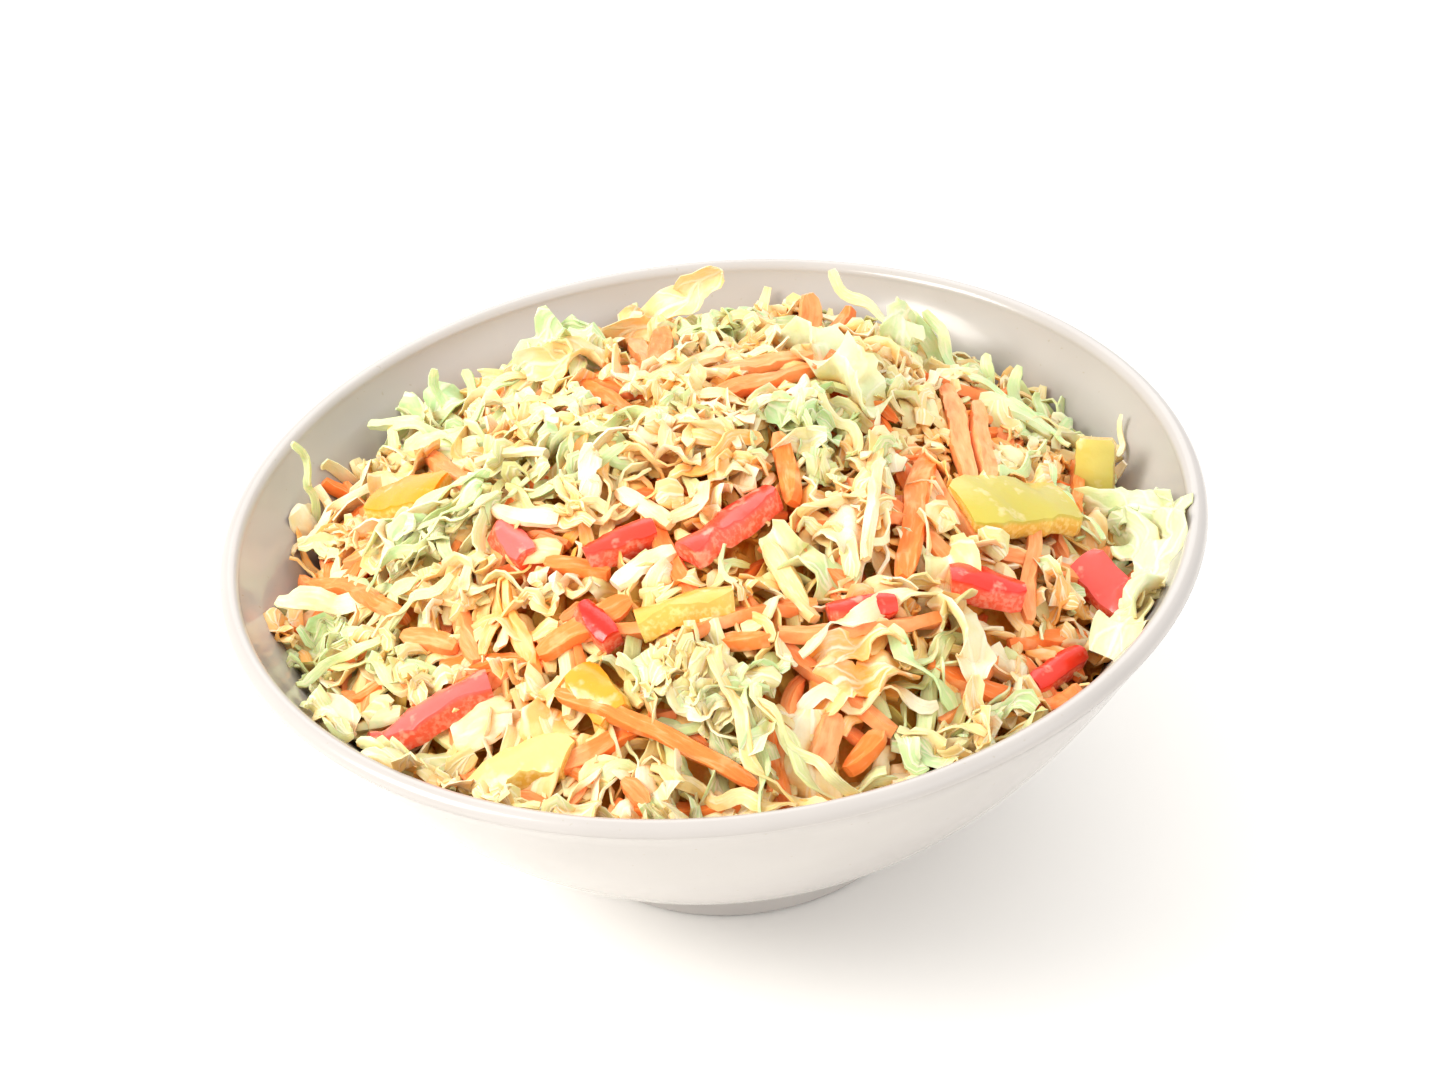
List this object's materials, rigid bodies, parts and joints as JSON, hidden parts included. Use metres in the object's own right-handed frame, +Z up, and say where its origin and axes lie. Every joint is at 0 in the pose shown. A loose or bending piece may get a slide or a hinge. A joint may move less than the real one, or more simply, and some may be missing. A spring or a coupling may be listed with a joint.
{
  "type": "bowl of coleslaw",
  "caption": "Coleslaw of shredded cabbage, carrot strips and pieces of red and yellow sweet pepper, heaped in a plain round flared bowl.",
  "frame": {"origin": "middle of the foot ring, on the surface that the bowl stands on", "axes": "+Z up through the bowl's axis; -Y towards the diner; +X to the diner's right"},
  "size_m": [0.1564, 0.1564, 0.0784],
  "materials": {
    "bowl": "gloss",
    "slaw": "satin",
    "red_pepper": "gloss",
    "yellow_pepper": "gloss"
  },
  "bodies": {
    "root": {"bowl": "bowl", "slaw": "slaw", "red_pepper_1": "red_pepper", "red_pepper_2": "red_pepper", "red_pepper_3": "red_pepper", "red_pepper_4": "red_pepper", "red_pepper_5": "red_pepper", "red_pepper_6": "red_pepper", "red_pepper_7": "red_pepper", "red_pepper_8": "red_pepper", "red_pepper_9": "red_pepper", "yellow_pepper_1": "yellow_pepper", "yellow_pepper_2": "yellow_pepper", "yellow_pepper_3": "yellow_pepper", "yellow_pepper_4": "yellow_pepper", "yellow_pepper_5": "yellow_pepper", "yellow_pepper_6": "yellow_pepper"}
  },
  "joints": []
}
